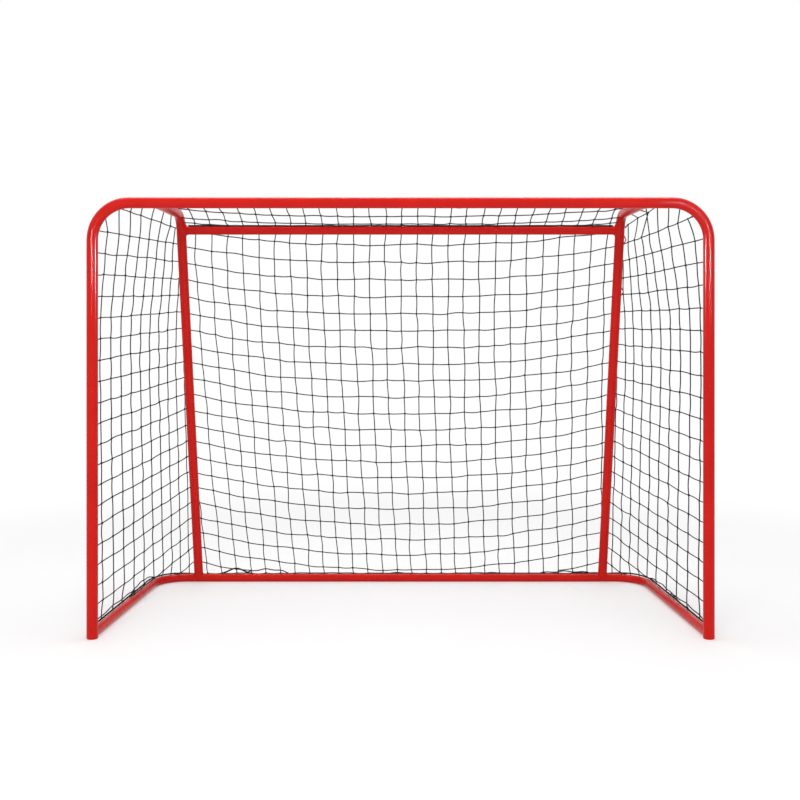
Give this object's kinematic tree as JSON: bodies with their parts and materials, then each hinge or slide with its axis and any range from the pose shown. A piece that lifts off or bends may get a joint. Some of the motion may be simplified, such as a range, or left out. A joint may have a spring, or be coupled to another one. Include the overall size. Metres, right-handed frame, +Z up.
{
  "type": "street hockey goal",
  "caption": "Free-standing street hockey goal: a red steel tube frame with leaning rear uprights, a floor base and a knotted cord net.",
  "frame": {"origin": "middle of the goal's footprint box, on the floor", "axes": "+X to the right seen from the front, +Z up, the mouth faces -Y"},
  "size_m": [1.663, 0.6855, 1.167],
  "materials": {
    "red_powder_coat": "glossy powder coat",
    "zinc_plated_steel": "zinc plated",
    "bright_steel": "polished",
    "spring_steel": "blued",
    "net_cord": "knotted polyethylene cord",
    "hem_cord": "braided cord"
  },
  "bodies": {
    "frame": {"crossbar": "red_powder_coat", "left_post": "red_powder_coat", "right_post": "red_powder_coat", "left_foot_plug": "red_powder_coat", "right_foot_plug": "red_powder_coat", "left_base_tube": "red_powder_coat", "right_base_tube": "red_powder_coat", "rear_base_tube": "red_powder_coat", "left_rear_upright": "red_powder_coat", "right_rear_upright": "red_powder_coat", "rear_top_bar": "red_powder_coat", "arm_welds": "red_powder_coat", "top_bar_welds": "red_powder_coat", "base_welds": "red_powder_coat", "crossbar_loops": "red_powder_coat", "left_post_loops": "red_powder_coat", "right_post_loops": "red_powder_coat", "left_upright_loops": "red_powder_coat", "right_upright_loops": "red_powder_coat", "left_base_loops": "red_powder_coat", "right_base_loops": "red_powder_coat", "rear_base_loops": "red_powder_coat", "left_splice_sleeve": "zinc_plated_steel", "right_splice_sleeve": "zinc_plated_steel", "left_upright_spigot": "zinc_plated_steel", "right_upright_spigot": "zinc_plated_steel", "left_button_spring": "spring_steel", "right_button_spring": "spring_steel", "back_net": "net_cord", "left_side_net": "net_cord", "right_side_net": "net_cord", "top_net": "net_cord", "hem_rope": "hem_cord"},
    "left_button": {"left_snap_button": "bright_steel"},
    "right_button": {"right_snap_button": "bright_steel"}
  },
  "joints": [
    {"name": "left_button_press", "type": "slide", "parent": "frame", "child": "left_button", "axis": [0, -1, 0], "range_m": [0, 0.0052], "stiffness_N_per_m": 2000, "springref_m": -0.002, "deforming": ["left_button_spring"]},
    {"name": "right_button_press", "type": "slide", "parent": "frame", "child": "right_button", "axis": [0, -1, 0], "range_m": [0, 0.0052], "stiffness_N_per_m": 2000, "springref_m": -0.002, "deforming": ["right_button_spring"]}
  ]
}
